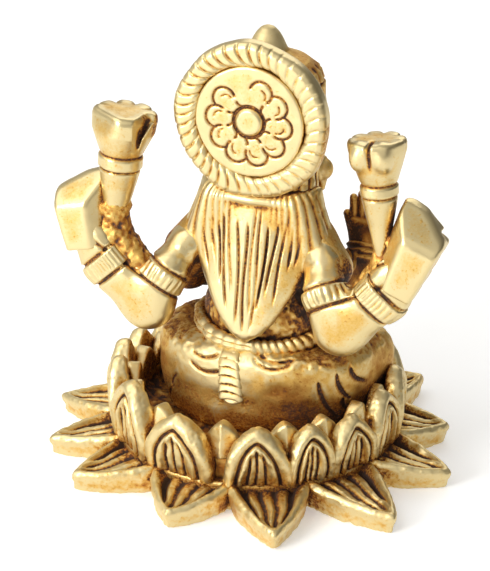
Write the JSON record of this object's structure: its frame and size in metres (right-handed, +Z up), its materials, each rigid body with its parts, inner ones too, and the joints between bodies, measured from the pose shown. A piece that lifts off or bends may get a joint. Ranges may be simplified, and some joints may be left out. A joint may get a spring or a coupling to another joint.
{
  "type": "hindu deity statuette",
  "caption": "Small cast-brass statuette of a crowned, four-armed goddess seated cross-legged in an open double lotus, with a round halo and long hair behind.",
  "frame": {"origin": "on the resting surface, at the centre of the round lotus base", "axes": "+Z up, -Y the way the figure faces, +X to the figure's left"},
  "size_m": [0.0731, 0.0671, 0.0756],
  "materials": {
    "figure_brass": "polished cast brass with dark antique patina in the recesses",
    "lotus_brass": "cast brass, worn bright on petal edges, brown patina in the grooves",
    "screw_steel": "plain turned steel"
  },
  "bodies": {
    "root": {"armlet_left": "figure_brass", "armlet_right": "figure_brass", "back_pleat": "figure_brass", "bracelet_left": "figure_brass", "bracelet_right": "figure_brass", "crown": "figure_brass", "cup_petal_01": "lotus_brass", "cup_petal_02": "lotus_brass", "cup_petal_03": "lotus_brass", "cup_petal_04": "lotus_brass", "cup_petal_05": "lotus_brass", "cup_petal_06": "lotus_brass", "cup_petal_07": "lotus_brass", "cup_petal_08": "lotus_brass", "cup_petal_09": "lotus_brass", "cup_petal_10": "lotus_brass", "cup_petal_11": "lotus_brass", "cup_petal_12": "lotus_brass", "cup_petal_13": "lotus_brass", "cup_petal_14": "lotus_brass", "cup_petal_15": "lotus_brass", "earrings": "figure_brass", "feet": "figure_brass", "fixing_screw": "screw_steel", "front_arm_left": "figure_brass", "front_arm_right": "figure_brass", "front_hand_left": "figure_brass", "front_hand_right": "figure_brass", "gap_petals": "lotus_brass", "hair_cap": "figure_brass", "hair_fall": "figure_brass", "halo_disc": "figure_brass", "halo_ring": "figure_brass", "head": "figure_brass", "lap": "figure_brass", "lotus_base": "lotus_brass", "lotus_bud_left": "figure_brass", "lotus_bud_right": "figure_brass", "lotus_cup": "lotus_brass", "necklace": "figure_brass", "outer_petal_01": "lotus_brass", "outer_petal_02": "lotus_brass", "outer_petal_03": "lotus_brass", "outer_petal_04": "lotus_brass", "outer_petal_05": "lotus_brass", "outer_petal_06": "lotus_brass", "outer_petal_07": "lotus_brass", "outer_petal_08": "lotus_brass", "outer_petal_09": "lotus_brass", "outer_petal_10": "lotus_brass", "outer_petal_11": "lotus_brass", "outer_petal_12": "lotus_brass", "rear_arm_left": "figure_brass", "rear_arm_right": "figure_brass", "rear_hand_left": "figure_brass", "rear_hand_right": "figure_brass", "sari_pleats": "figure_brass", "torso": "figure_brass", "waist_belt": "figure_brass"}
  },
  "joints": []
}
